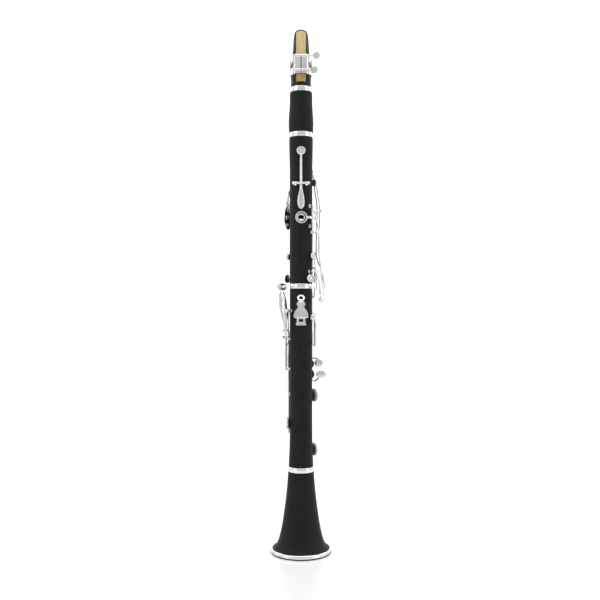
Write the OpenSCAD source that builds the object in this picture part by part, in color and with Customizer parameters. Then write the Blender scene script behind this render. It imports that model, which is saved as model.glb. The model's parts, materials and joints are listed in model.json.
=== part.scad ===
// Bb clarinet, Boehm system with 17 keys and 6 rings, standing on its bell.
// +Z runs up the bore, -Y is the player's side (reed, thumb hole, thumb rest), +X is the player's right.
// Places on the body are written as [angle, height, radius]: the angle is measured from the
// finger side (+Y) towards the player's right, and the radius from the bore axis.

/* [Lengths] */
// Height of the bell, with its socket ring
bell_h = 109.4; // [108:0.2:111]
// Length of the lower joint between its shoulders
lower_h = 233.2; // [233:0.1:234]
// Length of the upper joint between its shoulders
upper_h = 186.4; // [186:0.1:187]
// Length of the barrel
barrel_h = 64.2; // [62:0.2:67]
// Height of the metal socket rings
ring_h = 6.4; // [6:0.1:6.8]

/* [Turned bodies] */
// Outer radius of the bell rim ring
rim_r = 38.8; // [38:0.1:40]
// Outer radius of the upper joint
upper_r = 14.5; // [14.4:0.05:14.6]
// Outer radius of the lower joint
lower_r = 14.4; // [14.3:0.05:14.5]
// Bore radius
bore_r = 7.4; // [7.2:0.05:7.6]
// Radius of the tenons under their cork
tenon_r = 10.2; // [10:0.05:10.4]
// Thickness of the tenon cork
cork_t = 1.0; // [0.8:0.05:1.1]
// Radial clearance of the corked tenons in their sockets
cork_gap = 0.05; // [0.02:0.01:0.09]

/* [Keywork] */
// Outer diameter of the hinge tubes
tube_d = 3.2; // [3:0.1:3.3]
// Diameter of the steel hinge rods
rod_d = 1.6; // [1.5:0.05:1.7]
// Radial clearance of a hinge tube on its rod
rod_gap = 0.05; // [0.02:0.01:0.09]
// Diameter of the post heads
ball_d = 4.2; // [4:0.1:4.3]
// Diameter of the round arms
arm_d = 2.3; // [2:0.1:2.4]
// Radius of the hinge rods that run along the body, from the bore axis
rod_rho = 18.7; // [18.6:0.05:18.8]
// Gap between a resting pad and its tone hole
pad_gap = 0.05; // [0.03:0.01:0.1]

/* [Mouthpiece] */
// Length of the mouthpiece above the barrel
mouthpiece_h = 71.8; // [71:0.2:73]
// Width of the reed at its tip
reed_w = 13; // [12.6:0.1:13.2]

/* [Hidden] */
$fn = 96;

// Heights of the shoulders, from the bell upwards
z_lower = bell_h;
z_upper = z_lower + lower_h;
z_barrel = z_upper + upper_h;
z_mouth = z_barrel + barrel_h;
z_tip = z_mouth + mouthpiece_h;

socket_r = tenon_r + cork_t + cork_gap;
tenon_len = [18, 21, 15, 15.5]; // bell, middle, barrel and mouthpiece tenons
shoulder_gap = 0.05;

post_foot_d = 4.6;
post_stem_d = 2.2;
tube_gap = 0.35; // between a hinge tube's end and the post head
cup_h = 2.6;
cup_wall = 0.45;
pad_recess = 1.5;
pad_h = 2.3;
seat_wall = 1.9;

// Angle and height of each hinge line
a_ring_rod = 48;
a_twin_inner = -40;
a_twin_outer = -58;
a_foot_rod = 22;
z_register = 469;
z_trill_high = 436;
z_trill_mid = 408;
z_trill_low = 358;
a_trill_high = 62;
a_trill_mid = 104;
a_trill_low = 120;
w_trill_high = 24.5;
w_trill_mid = 22.6;
w_trill_low = 20.4;
z_left_levers = 308;
a_left_levers = -102;
w_left_levers = 20;

// How far each open-standing key stands away from its closed place, in degrees
ring_open = 8;
thumb_open = 7;
f_c_open = 8;
e_b_open = 5;

// Tone holes: [angle, height, sideways offset, hole radius, seat radius, seat height from the axis]
register_hole = [180, 510, 0, 2.4, 4.0, 16.0];
trill_1_hole = [a_trill_high, 487, -4.5, 2.4, 4.0, 16.2];
trill_2_hole = [a_trill_high, 472, 4.5, 2.4, 4.0, 16.2];
a_hole = [-4, 464, 0, 2.4, 3.9, 16.0];
ab_hole = [-56, 459, 0, 2.4, 3.9, 16.0];
index_vent_hole = [20, 438, 0, 2.4, 3.6, 16.2];
index_hole = [0, 424, 0, 3.2, 5.2, 16.2];
trill_3_hole = [a_trill_mid, 428, 0, 2.4, 3.9, 16.0];
middle_hole = [0, 397, 0, 3.6, 5.2, 16.2];
middle_vent_hole = [14, 381.5, 0, 2.6, 3.8, 16.2];
ring_finger_hole = [-3, 368, 0, 3.0, 5.0, 15.9];
eb_bb_hole = [-77, 377, 0, 2.2, 3.7, 16.0];
trill_4_hole = [a_trill_low, 378, -0.5, 2.6, 4.3, 16.0];
cs_gs_hole = [138, 349.5, 0, 2.6, 4.3, 16.0];
upper_holes = [register_hole, trill_1_hole, trill_2_hole, a_hole, ab_hole, index_vent_hole, index_hole,
    trill_3_hole, middle_hole, middle_vent_hole, ring_finger_hole, eb_bb_hole, trill_4_hole, cs_gs_hole];
thumb_hole = [180, 426];
bush_r = 5.3;

lower_vent_hole = [12, 322, 0, 3.0, 4.4, 16.2];
right_index_hole = [0, 304, 0, 4.0, 5.3, 16.2];
right_middle_hole = [0, 281, 0, 4.0, 5.3, 16.2];
right_ring_hole = [0, 257, 0, 4.0, 5.3, 16.2];
b_fs_hole = [119, 300, 0, 2.8, 4.4, 16.0];
ab_eb_hole = [-9, 233, 0, 3.6, 4.7, 16.2];
f_c_hole = [60, 199, 0, 5.4, 7.2, 16.6];
fs_cs_hole = [-89, 164.3, 0, 4.6, 6.0, 16.4];
e_b_hole = [60, 129, 0, 5.4, 7.4, 17.0];
lower_holes = [lower_vent_hole, right_index_hole, right_middle_hole, right_ring_hole, b_fs_hole,
    ab_eb_hole, f_c_hole, fs_cs_hole, e_b_hole];

// Posts: [angle, height, radius of the head]
function seesaw_posts(a, z, w, u) =
    let (swing = atan(u / w), r = norm([u, w])) [[a - swing, z, r], [a + swing, z, r]];
upper_post_list = concat(
    seesaw_posts(180, z_register, 17.8, 9.1),
    seesaw_posts(-4, 451, 18.2, 6.2),
    seesaw_posts(-56, 446, 18.2, 6.6),
    seesaw_posts(a_trill_high, z_trill_high, w_trill_high, 9),
    seesaw_posts(a_trill_mid, z_trill_mid, w_trill_mid, 6),
    seesaw_posts(a_trill_low, z_trill_low, w_trill_low, 5.6),
    [[132, 441, 20], [132, 415.6, 20]],
    [[a_ring_rod, 431, rod_rho], [a_ring_rod, 410.5, rod_rho], [a_ring_rod, 359, rod_rho]],
    [[-48, 390, 18], [-48, 365, 18]],
    [[86, 357.6, 18], [86, 345.4, 18]]);
lower_post_list = concat(
    seesaw_posts(a_left_levers, z_left_levers, w_left_levers, 7.6),
    [[a_ring_rod, 330, rod_rho], [a_ring_rod, 292.5, rod_rho], [a_ring_rod, 251.5, rod_rho]],
    [[93, 295.5, 18], [93, 264, 18]],
    [[a_twin_inner, 287, rod_rho], [a_twin_inner, 208, rod_rho], [a_twin_inner, 121, rod_rho]],
    [[a_twin_outer, 278.5, rod_rho], [a_twin_outer, 200, rod_rho], [a_twin_outer, 152, rod_rho]],
    [[a_foot_rod, 242.4, rod_rho], [a_foot_rod, 223.6, rod_rho], [a_foot_rod, 187, rod_rho]],
    [[-95, 272, 19.6], [-95, 233.6, 19.6]]);

function P(a, z, r) = [r * sin(a), r * cos(a), z];
// A point in the frame of a seesaw key: sideways u and outwards w from the axis at angle a
function S(a, z, u, w) = [w * sin(a) + u * cos(a), w * cos(a) - u * sin(a), z];

// ---- placing and joining ----

// Local x is sideways (towards the player's right at the front), y is down and z is outwards
module at(a, z, r = 0) {
    translate(P(a, z, r)) rotate([-90, 0, -a]) children();
}

// Turns its children about a hinge line that is parallel to the bore
module swing(a, r, degrees) {
    translate(P(a, 0, r)) rotate([0, 0, degrees]) translate(-P(a, 0, r)) children();
}

module bar(p, q, d) {
    v = q - p;
    translate(p) rotate([0, acos(v[2] / norm(v)), atan2(v[1], v[0])]) cylinder(h = norm(v), d = d, $fn = 24);
}

module rod_path(points, d, knuckle_from = 1) {
    for (i = [0 : len(points) - 2]) bar(points[i], points[i + 1], d);
    for (i = [knuckle_from : len(points) - 1]) translate(points[i]) sphere(d = d * 1.16, $fn = 24);
}

// A flat strip bent round the body, between two angles
module arc_arm(z, r_in, t, h, a_from, a_to) {
    translate([0, 0, z - h / 2]) rotate([0, 0, 90 - a_to]) rotate_extrude(angle = a_to - a_from)
        translate([r_in, 0]) square([t, h]);
}

// A flat strip that passes over a post and joins the tubes on both sides of it
module post_strip(a, z_low, z_high, r, side) {
    at(a + 6 * side, (z_low + z_high) / 2, 21.3) cube([2.2, z_high - z_low, 1.4], center = true);
    for (z = [z_low + 1.2, z_high - 1.2]) bar(P(a, z, r + 0.9), P(a + 6 * side, z, 21.4), 1.7);
}

// ---- hinges ----

module post(a, z, r, body_r) {
    at(a, z) {
        translate([0, 0, body_r - 1.2]) cylinder(h = 1.9, d = post_foot_d, $fn = 32);
        translate([0, 0, body_r - 3]) cylinder(h = r - body_r + 3, d = post_stem_d, $fn = 24);
        translate([0, 0, r]) sphere(d = ball_d, $fn = 32);
    }
}

module posts(list, body_r) {
    for (p = list) post(p[0], p[1], p[2], body_r);
}

module hinge_tube(a, z_low, z_high, r) {
    translate(P(a, z_low, r)) cylinder(h = z_high - z_low, d = tube_d, $fn = 32);
}

module cross_tube(a, z, w, u_low, u_high) {
    at(a, z, w) translate([u_low, 0, 0]) rotate([0, 90, 0]) cylinder(h = u_high - u_low, d = tube_d, $fn = 32);
}

// Clears the hinge rod's way through arms that meet the tube
module rod_way(a, z_low, z_high, r) {
    translate(P(a, z_low, r)) cylinder(h = z_high - z_low, d = rod_d + 2 * rod_gap, $fn = 32);
}

module cross_rod_way(a, z, w) {
    at(a, z, w) rotate([0, 90, 0]) cylinder(h = 40, d = rod_d + 2 * rod_gap, center = true, $fn = 32);
}

module long_rod(a, z_low, z_high, r) {
    translate(P(a, z_low, r)) cylinder(h = z_high - z_low, d = rod_d, $fn = 32);
}

module cross_rod(a, z, w, u) {
    at(a, z, w) rotate([0, 90, 0]) cylinder(h = 2 * u, d = rod_d, center = true, $fn = 32);
}

// ---- pads and cups, placed over a tone hole ----

module over_hole(hole) {
    at(hole[0], hole[1], hole[5] + pad_gap) translate([hole[2], 0, 0]) children();
}

module pad(hole) {
    color("white") over_hole(hole) cylinder(h = pad_h, r = hole[4] + 0.2);
}

module cup(hole) {
    r = hole[4] + 0.2;
    over_hole(hole) rotate_extrude() polygon([
        [0, pad_h], [r, pad_h], [r, pad_h - pad_recess], [r + cup_wall, pad_h - pad_recess],
        [r + cup_wall, pad_h + 0.5], [r - 0.9, pad_h + 1.1], [0, pad_h + 1.3]]);
}

function cup_top(hole) = S(hole[0], hole[1], hole[2], hole[5] + pad_gap + pad_h + 1.1);

module finger_ring(hole, w) {
    at(hole[0], hole[1], w) difference() {
        cylinder(h = 1.5, r = 8.2);
        translate([0, 0, -1]) cylinder(h = 4, r = 6.6);
    }
}

// A rounded flat touch, centred on a point with its own facing
module touch_plate(a, z, w, u, long, wide, t = 1.5) {
    at(a, z, w) translate([u, 0, 0]) linear_extrude(t) {
        for (side = [-1, 1]) translate([0, side * (long - wide) / 2]) circle(d = wide, $fn = 32);
        square([wide, max(long - wide, 0.1)], center = true);
    }
}

// ---- turned bodies ----

module bell_body() {
    color([0.1, 0.1, 0.1]) difference() {
        rotate_extrude() polygon([
            [36.6, 0], [36.9, 1.2], [36.4, 4.6], [33.4, 7], [29.2, 14.6], [26, 26.1], [23.7, 37.6], [22, 49.2],
            [20.4, 60.7], [19, 72.2], [17.9, 83.7], [17.2, 91.4], [16.5, bell_h - ring_h], [15.2, bell_h - ring_h],
            [15.2, bell_h], [socket_r, bell_h], [socket_r, bell_h - tenon_len[0] - 0.5],
            [11, bell_h - tenon_len[0] - 0.5], [12.6, 66], [15.2, 46], [19.4, 27], [25.4, 11.5], [33.6, 0]]);
    }
}

module bell_rings() {
    color("silver") {
        rotate_extrude() polygon([
            [36.9, 1.2], [37.9, 1.2], [38.6, 2], [rim_r, 3.1], [38.6, 4.3], [37.8, 5.3], [36.4, 4.6]]);
        translate([0, 0, bell_h - ring_h]) socket_ring(16.6, 15.2);
    }
}

module socket_ring(r_out, r_in) {
    rotate_extrude() polygon([
        [r_in, 0], [r_out - 0.5, 0], [r_out, 0.5], [r_out, ring_h - 0.5], [r_out - 0.5, ring_h], [r_in, ring_h]]);
}

module tenon(z, len, down = true) {
    translate([0, 0, down ? z - len : z]) difference() {
        cylinder(h = len, r = tenon_r);
        translate([0, 0, 3]) difference() {
            cylinder(h = len - 6, r = tenon_r + 1);
            cylinder(h = len - 6, r = tenon_r - 0.8);
        }
    }
}

module tenon_cork(z, len, down = true) {
    translate([0, 0, (down ? z - len : z) + 3]) difference() {
        cylinder(h = len - 6, r = tenon_r + cork_t);
        translate([0, 0, -1]) cylinder(h = len, r = tenon_r - 0.8);
    }
}

module chimneys(holes) {
    for (h = holes) at(h[0], h[1], 10) translate([h[2], 0, 0]) cylinder(h = h[5] - 10, r = h[4]);
}

module hole_cuts(holes) {
    for (h = holes) at(h[0], h[1]) translate([h[2], 0, 2]) cylinder(h = 22, r = h[3]);
}

module lower_joint_body() {
    top = z_upper;
    color([0.12, 0.12, 0.12]) difference() {
        union() {
            rotate_extrude() polygon([
                [0, z_lower + 0.01], [15.8, z_lower + 0.01], [15.5, z_lower + 8], [14.9, z_lower + 22],
                [lower_r + 0.1, z_lower + 36], [lower_r, z_lower + 60], [lower_r, top - ring_h], [13.2, top - ring_h],
                [13.2, top], [0, top]]);
            tenon(z_lower + 0.1, tenon_len[0]);
            chimneys(lower_holes);
        }
        translate([0, 0, z_lower - 30]) cylinder(h = lower_h + 40, r = bore_r);
        translate([0, 0, z_lower - 30]) cylinder(h = 90, r1 = 8.8, r2 = bore_r - 0.3);
        translate([0, 0, top - tenon_len[1] - 0.5]) cylinder(h = 30, r = socket_r);
        hole_cuts(lower_holes);
    }
}

module lower_joint_ring() {
    color("silver") translate([0, 0, z_upper - ring_h]) socket_ring(14.7, 13.2);
}

module lower_tenon_cork() {
    color("tan") tenon_cork(z_lower + 0.1, tenon_len[0]);
}

module upper_joint_body() {
    color([0.12, 0.12, 0.12]) difference() {
        union() {
            rotate_extrude() polygon([
                [0, z_upper + shoulder_gap], [upper_r - 0.3, z_upper + shoulder_gap], [upper_r, z_upper + 0.6],
                [upper_r, z_barrel - 42], [14.9, z_barrel - 24], [15.25, z_barrel - 8], [15.2, z_barrel - 0.8],
                [14.6, z_barrel - shoulder_gap], [0, z_barrel - shoulder_gap]]);
            tenon(z_upper + shoulder_gap + 0.1, tenon_len[1]);
            tenon(z_barrel - shoulder_gap - 0.1, tenon_len[2], false);
            chimneys(upper_holes);
        }
        translate([0, 0, z_upper - 30]) cylinder(h = 240, r = bore_r);
        hole_cuts(upper_holes);
        at(thumb_hole[0], thumb_hole[1]) translate([0, 0, 2]) cylinder(h = 20, r = bush_r);
    }
}

module upper_tenon_corks() {
    color("tan") {
        tenon_cork(z_upper + shoulder_gap + 0.1, tenon_len[1]);
        tenon_cork(z_barrel - shoulder_gap - 0.1, tenon_len[2], false);
    }
}

// Metal tubes in the thumb hole and in the register vent
module upper_bushes() {
    color("silver") {
        at(thumb_hole[0], thumb_hole[1], bore_r) difference() {
            cylinder(h = 16.5 - bore_r, r = bush_r);
            translate([0, 0, -1]) cylinder(h = 20, r = 3.6);
        }
        at(register_hole[0], register_hole[1], 4.8) difference() {
            cylinder(h = register_hole[5] - 4.9, r = register_hole[3]);
            translate([0, 0, -1]) cylinder(h = 20, r = 1.5);
        }
    }
}

module barrel_body() {
    z = z_barrel;
    color([0.12, 0.12, 0.12]) difference() {
        rotate_extrude() polygon([
            [13.2, z], [13.2, z + ring_h], [15.35, z + ring_h], [15.75, z + 12], [15.85, z + 18], [15.6, z + 25],
            [15, z + 33], [14.55, z + 41], [14.4, z + 49], [14.4, z_mouth - ring_h - 1.5],
            [13.9, z_mouth - ring_h], [12.9, z_mouth - ring_h], [12.9, z_mouth], [0, z_mouth], [0, z]]);
        translate([0, 0, z - 1]) cylinder(h = barrel_h + 2, r = bore_r + 0.1);
        translate([0, 0, z - 1]) cylinder(h = tenon_len[2] + 1.5, r = socket_r);
        translate([0, 0, z_mouth - tenon_len[3] - 0.5]) cylinder(h = 30, r = socket_r);
    }
}

module barrel_rings() {
    color("silver") {
        translate([0, 0, z_barrel]) socket_ring(15.35, 13.2);
        translate([0, 0, z_mouth - ring_h]) socket_ring(14.2, 12.9);
    }
}

// ---- mouthpiece, reed and ligature ----

table_y = [-11.2, -9.2]; // reed table at the barrel end and at the tip
table_tilt = atan((table_y[1] - table_y[0]) / (z_tip - z_mouth));

// Moves into the frame of the reed table: x across, y out of the table towards the player, z along it
module on_table() {
    translate([0, table_y[0], z_mouth]) rotate([-table_tilt, 0, 0]) mirror([0, 1, 0]) children();
}

module mouthpiece_body() {
    z = z_mouth;
    color([0.05, 0.05, 0.05]) difference() {
        union() {
            rotate_extrude() polygon([
                [0, z + shoulder_gap], [13.2, z + shoulder_gap], [13.4, z + 1], [12.95, z + 9], [13.3, z + 13],
                [13.2, z + 14.5], [12.6, z + 20], [11.5, z + 38], [10.4, z + 52], [8.9, z + 66],
                [8.1, z + mouthpiece_h - 1.6], [6.6, z + mouthpiece_h], [0, z + mouthpiece_h]]);
            tenon(z + shoulder_gap + 0.1, tenon_len[3]);
        }
        // reed table
        on_table() translate([-20, 0, -1]) cube([40, 20, 90]);
        // beak, sloping from the finger side to the tip
        translate([0, table_y[1] + 1.3, z_tip]) rotate([-58.5, 0, 0]) translate([-20, 0, -1]) cube([40, 60, 40]);
        // bore and window
        translate([0, 0, z - 20]) cylinder(h = 52, r1 = bore_r + 0.1, r2 = 6.6);
        on_table() translate([-4.8, -7, 32]) cube([9.6, 8, 34]);
    }
}

module mouthpiece_cork() {
    color("tan") tenon_cork(z_mouth + shoulder_gap + 0.1, tenon_len[3]);
}

module reed() {
    heel = 5;
    color([0.85, 0.76, 0.55]) on_table() intersection() {
        translate([-reed_w / 2, 0, 0]) rotate([90, 0, 90]) linear_extrude(reed_w) polygon([
            [0.02, heel], [2.6, heel], [3.0, heel + 2], [3.0, 40], [1.9, 50], [0.9, 61], [0.25, mouthpiece_h + 0.2],
            [0.02, mouthpiece_h + 0.2]]);
        translate([0, 0, 0]) rotate([-90, 0, 0]) linear_extrude(10) polygon([
            [-5.9, 0], [5.9, 0], [reed_w / 2, -mouthpiece_h + 6], [5.4, -mouthpiece_h + 1.4],
            [2.8, -mouthpiece_h], [-2.8, -mouthpiece_h], [-5.4, -mouthpiece_h + 1.4],
            [-reed_w / 2, -mouthpiece_h + 6]]);
    }
}

lig_low = z_mouth + 14.8;
lig_h = 25;
lig_screws = [lig_low + 21.4, lig_low + 3.4]; // heights of the two thumb screws
lig_y = -17.4;

module ligature_outline(grow) {
    circle(r = 13.55 + grow);
    translate([0, -9]) square([14 + 2 * grow, 12 + 2 * grow], center = true);
}

module ligature_band() {
    color("silver") difference() {
        union() {
            translate([0, 0, lig_low]) linear_extrude(lig_h) difference() {
                ligature_outline(0.6);
                ligature_outline(0);
            }
            for (z = lig_screws) translate([-6.8, lig_y, z]) rotate([0, 90, 0]) cylinder(h = 13.6, d = 3.8, $fn = 32);
        }
        for (z = lig_screws) translate([-20, lig_y, z]) rotate([0, 90, 0]) cylinder(h = 40, r = 1.3, $fn = 32);
        translate([-0.6, -25, lig_low - 1]) cube([1.2, 15, lig_h + 2]);
        translate([-20, -4, lig_low + lig_h / 2]) rotate([0, 90, 0]) cylinder(h = 40, r = 6);
    }
}

module ligature_screw(z, reach) {
    color("silver") translate([0, lig_y, z]) {
        translate([-8.4, 0, 0]) rotate([0, 90, 0]) cylinder(h = reach + 8.4 - 3, r = 1.25, $fn = 32);
        translate([7.1, 0, 0]) rotate([0, 90, 0]) cylinder(h = 1.6, r = 1.55, $fn = 32);
        translate([reach, 0, 0]) rotate([90, 0, 0]) cylinder(h = 2.4, r = 4.25, center = true, $fn = 48);
    }
}

module ligature_screw_upper() {
    ligature_screw(lig_screws[0], 19.5);
}

module ligature_screw_lower() {
    ligature_screw(lig_screws[1], 16.8);
}

// ---- posts, rods and springs ----

module upper_posts() {
    color("silver") posts(upper_post_list, upper_r);
}

module lower_posts() {
    color("silver") posts(lower_post_list, lower_r);
}

module upper_hinge_rods() {
    color("gray") {
        cross_rod(180, z_register, 17.8, 9.4);
        cross_rod(-4, 451, 18.2, 6.4);
        cross_rod(-56, 446, 18.2, 6.8);
        cross_rod(a_trill_high, z_trill_high, w_trill_high, 9.2);
        cross_rod(a_trill_mid, z_trill_mid, w_trill_mid, 6.2);
        cross_rod(a_trill_low, z_trill_low, w_trill_low, 5.8);
        long_rod(132, 415.2, 441.4, 20);
        long_rod(a_ring_rod, 358.6, 431.4, rod_rho);
        long_rod(-48, 364.6, 390.4, 18);
        long_rod(86, 345, 358, 18);
    }
}

module lower_hinge_rods() {
    color("gray") {
        cross_rod(a_left_levers, z_left_levers, w_left_levers, 7.8);
        long_rod(a_ring_rod, 251.1, 330.4, rod_rho);
        long_rod(93, 263.6, 295.9, 18);
        long_rod(a_twin_inner, 120.6, 287.4, rod_rho);
        long_rod(a_twin_outer, 151.6, 278.9, rod_rho);
        long_rod(a_foot_rod, 186.6, 242.8, rod_rho);
        long_rod(-95, 233.2, 272.4, 19.6);
    }
}

// A blued needle beside a hinge tube, from the post's stem along the body
module needle(a, z, r, len, side) {
    translate(P(a + side * 3, z, r - 3)) cylinder(h = len, r = 0.3, $fn = 16);
}

module upper_needle_springs() {
    color([0.15, 0.18, 0.35]) {
        needle(a_ring_rod, 360, rod_rho, 20, -1);
        needle(a_ring_rod, 411, rod_rho, 8, -1);
        needle(132, 417, 20, 9, -1);
        needle(-48, 366, 18, 12, 1);
    }
}

module lower_needle_springs() {
    color([0.15, 0.18, 0.35]) {
        needle(a_ring_rod, 253, rod_rho, 22, -1);
        needle(93, 265, 18, 16, 1);
        needle(a_twin_inner, 122, rod_rho, 24, 1);
        needle(a_twin_outer, 153, rod_rho, 22, -1);
        needle(a_foot_rod, 188, rod_rho, 18, -1);
        needle(-95, 235, 19.6, 18, 1);
    }
}

// ---- thumb rest ----

z_rest = 307; // lock screw of the thumb rest
z_rest_top = 316.7;
z_rest_foot = 291.4;
rest_w = lower_r + 1.4; // underside of the sliding plate

module thumb_rest_base() {
    color("silver") intersection() {
        translate([0, 0, z_rest - 25]) difference() {
            cylinder(h = 50, r = lower_r + 1.3);
            translate([0, 0, -1]) cylinder(h = 52, r = lower_r - 0.02);
        }
        at(180, z_rest) translate([0, 0, 8]) linear_extrude(10) difference() {
            union() {
                translate([0, -2]) square([8, 23], center = true);
                translate([0, 10.6]) square([11, 8], center = true);
                translate([0, z_rest - z_rest_foot]) square([12.5, 3.2], center = true);
            }
            translate([0, 11]) square([5.4, 3.4], center = true);
        }
    }
}

module thumb_rest_fixing_screws() {
    color("silver") for (z = [z_rest_top, z_rest_foot]) at(180, z, 8.5) {
        cylinder(h = 7, r = 1, $fn = 24);
        translate([0, 0, 7]) cylinder(h = 1.1, r1 = 1.6, r2 = 1.3, $fn = 32);
    }
}

module thumb_rest_slider() {
    color("silver") difference() {
        union() {
            at(180, z_rest, rest_w) {
                translate([-5.3, -6, 0]) cube([10.6, 12, 1.4]);
                translate([-9.3, 2.6, 0]) cube([18.6, 4.4, 1.4]);
                // ledge that rests on the thumb
                translate([-9.3, 5.6, 0]) cube([18.6, 1.5, 12.5]);
            }
            rod_path([S(180, 311.8, 0, rest_w + 0.7), S(180, 312.4, 0, rest_w + 3.4), S(180, 321.1, 0, rest_w + 2.3)],
                2.2);
            // strap ring, tipped outwards
            translate([0, -rest_w - 5.2, 324.4]) rotate([-38, 0, 0]) rotate_extrude()
                translate([2.7, -0.9]) square([2, 1.8]);
        }
        // slot for the lock screw
        at(180, z_rest, rest_w - 1) {
            translate([-1.3, -3, 0]) cube([2.6, 6, 4]);
        }
    }
}

module thumb_rest_lock_screw() {
    color("silver") at(180, z_rest, rest_w) {
        translate([0, 0, -4]) cylinder(h = 5.5, r = 1.2, $fn = 32);
        translate([0, 0, 1.45]) difference() {
            cylinder(h = 1.5, r = 2.3, $fn = 32);
            translate([-3, -0.35, 0.9]) cube([6, 0.7, 2]);
        }
    }
}

// ---- upper joint keys ----

module register_key() {
    w = 17.8;
    color("silver") {
        cup(register_hole);
        difference() {
            union() {
                cross_tube(180, z_register, w, -6.5, 6.5);
                rod_path([cup_top(register_hole), S(180, 490, 0, 20.2), S(180, z_register, 0, 19.6),
                    S(180, 458, 0, 20.4)], arm_d, 0);
                touch_plate(180, 447, 19.7, 0, 25, 9.6, 1.5);
            }
            cross_rod_way(180, z_register, w);
        }
    }
}

module register_pad() {
    pad(register_hole);
}

module thumb_ring_key() {
    color("silver") swing(132, 20, thumb_open) difference() {
        union() {
            hinge_tube(132, 418.1, 438.5, 20);
            at(180, 426, 15.2) difference() {
                cylinder(h = 1.6, r = 7.7);
                translate([0, 0, -1]) cylinder(h = 4, r = 6.2);
            }
            arc_arm(426, 17.4, 1.4, 2.8, 133, 157);
            rod_path([P(133, 426, 20), P(136, 426, 18.4)], arm_d);
            rod_path([P(132, 431, 20), P(120, 431, 18.6)], arm_d);
        }
        rod_way(132, 400, 450, 20);
    }
}

module a_key() {
    color("silver") {
        cup(a_hole);
        difference() {
            union() {
                cross_tube(-4, 451, 18.2, -3.7, 3.7);
                rod_path([cup_top(a_hole), S(-4, 451, 0, 19.8), S(-4, 445, 0, 20.2)], arm_d, 0);
                touch_plate(-4, 442, 19.5, 0, 9, 6.4, 1.4);
            }
            cross_rod_way(-4, 451, 18.2);
        }
    }
}

module a_pad() {
    pad(a_hole);
}

module ab_key() {
    color("silver") {
        cup(ab_hole);
        difference() {
            union() {
                cross_tube(-56, 446, 18.2, -4.1, 4.1);
                rod_path([cup_top(ab_hole), S(-56, 446, 0, 19.8), S(-56, 438, -1, 19.6)], arm_d, 0);
                touch_plate(-56, 428, 18.8, -2.8, 29, 12.6, 1.5);
            }
            cross_rod_way(-56, 446, 18.2);
        }
    }
}

module ab_pad() {
    pad(ab_hole);
}

// A long side key: its cup, the hinge tube across the body and the lever down to its touch
module trill_key(hole, a, z, w, u_low, u_high, lever, touch) {
    u = (u_low + u_high) / 2;
    color("silver") {
        cup(hole);
        difference() {
            union() {
                cross_tube(a, z, w, u_low, u_high);
                rod_path(concat([cup_top(hole), S(a, z, u, w + 0.8)], lever, [touch]), arm_d, 0);
            }
            cross_rod_way(a, z, w);
        }
        translate(touch) rotate([-90, 0, -92]) rotate([0, 0, 0]) linear_extrude(1.8) {
            circle(d = 7.6, $fn = 32);
        }
    }
}

module trill_key_1() {
    trill_key(trill_1_hole, a_trill_high, z_trill_high, w_trill_high, -6.4, -0.3,
        [S(a_trill_high, 410, -4.2, 24.4), S(a_trill_high, 376, -4.2, 25), [27, 11.5, 360]], [29.2, 13.2, 350.8]);
}

module trill_key_2() {
    trill_key(trill_2_hole, a_trill_high, z_trill_high, w_trill_high, 0.3, 6.4,
        [S(a_trill_high, 410, 3.6, 24.4), S(a_trill_high, 376, 3.4, 25), [26.6, 5.6, 354]], [29.4, 5.6, 341.6]);
}

module trill_key_3() {
    trill_key(trill_3_hole, a_trill_mid, z_trill_mid, w_trill_mid, -3.4, 3.4,
        [S(a_trill_mid, 384, -0.6, 22.8), S(a_trill_mid, 366, -3, 25), [26, -1.6, 348]], [28, -1.8, 332.8]);
}

module trill_key_4() {
    trill_key(trill_4_hole, a_trill_low, z_trill_low, w_trill_low, -3.1, 3.1,
        [S(a_trill_low, 353, -2, 23.4), [23.6, -10.6, 346]], [24.6, -9.6, 323.2]);
}

// Index finger ring and the vent pad that it closes
module index_ring_key() {
    color("silver") swing(a_ring_rod, rod_rho, -ring_open) {
        cup(index_vent_hole);
        finger_ring(index_hole, 15.6);
        difference() {
            union() {
                hinge_tube(a_ring_rod, 412.9, 428.6, rod_rho);
                arc_arm(424, 17.4, 1.4, 2.6, 23, 47);
                bar(P(36, 424.2, 18.1), cup_top(index_vent_hole), 2);
            }
            rod_way(a_ring_rod, 400, 450, rod_rho);
        }
    }
}

module index_ring_pad() {
    swing(a_ring_rod, rod_rho, -ring_open) pad(index_vent_hole);
}

// Middle finger ring, its vent pad and the bridge tongue over the lower joint
module middle_ring_key() {
    color("silver") swing(a_ring_rod, rod_rho, -ring_open) {
        cup(middle_vent_hole);
        finger_ring(middle_hole, 15.6);
        difference() {
            union() {
                hinge_tube(a_ring_rod, 361.5, 408.1, rod_rho);
                arc_arm(397, 17.4, 1.4, 2.6, 23, 47);
                arc_arm(381.5, 18.9, 1.5, 2.6, 15, 47);
                rod_path([P(a_ring_rod, 364, rod_rho), P(56, 362, 21.6), P(59, 354, 23.4), P(59, 334.5, 23.4)], 2.2);
            }
            rod_way(a_ring_rod, 350, 415, rod_rho);
        }
    }
}

module middle_ring_pad() {
    swing(a_ring_rod, rod_rho, -ring_open) pad(middle_vent_hole);
}

// Left little finger key: its arm crosses in front of the body to a pad on the far side
module cs_gs_key() {
    color("silver") {
        cup(cs_gs_hole);
        difference() {
            union() {
                hinge_tube(86, 347.8, 355.2, 18);
                arc_arm(351.5, 17.8, 1.5, 3, -80, 86);
                rod_path([P(86, 350.5, 18.4), P(112, 350, 19.3), cup_top(cs_gs_hole)], arm_d);
                touch_plate(-76, 349, 19, -4.4, 10.6, 9.4, 1.5);
            }
            rod_way(86, 340, 360, 18);
        }
    }
}

module cs_gs_pad() {
    pad(cs_gs_hole);
}

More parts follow.
